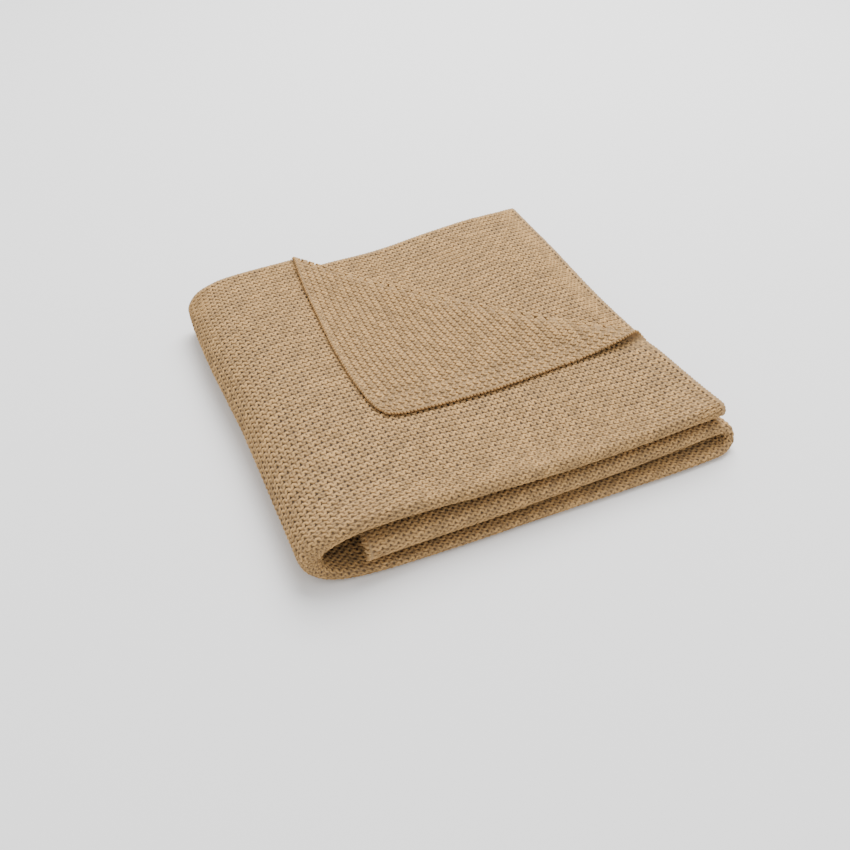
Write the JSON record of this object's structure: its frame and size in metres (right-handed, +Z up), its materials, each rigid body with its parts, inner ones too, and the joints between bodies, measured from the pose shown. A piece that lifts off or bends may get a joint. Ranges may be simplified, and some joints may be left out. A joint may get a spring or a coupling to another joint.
{
  "type": "folded knitted crib blanket",
  "caption": "Knitted crib blanket, doubled, folded in three into a flat square pile, with one corner of the top layer turned back.",
  "frame": {"origin": "on the surface that the pile lies on, under the middle of its bounding box", "axes": "+X along the doubled fold, towards the free end of the top layer; +Y from the doubled fold at the front to the free edges at the back; +Z up"},
  "size_m": [0.5234, 0.5152, 0.0751],
  "materials": {
    "knit": "matt knitted cotton yarn, warm beige"
  },
  "bodies": {
    "root": {"blanket": "knit"}
  },
  "joints": []
}
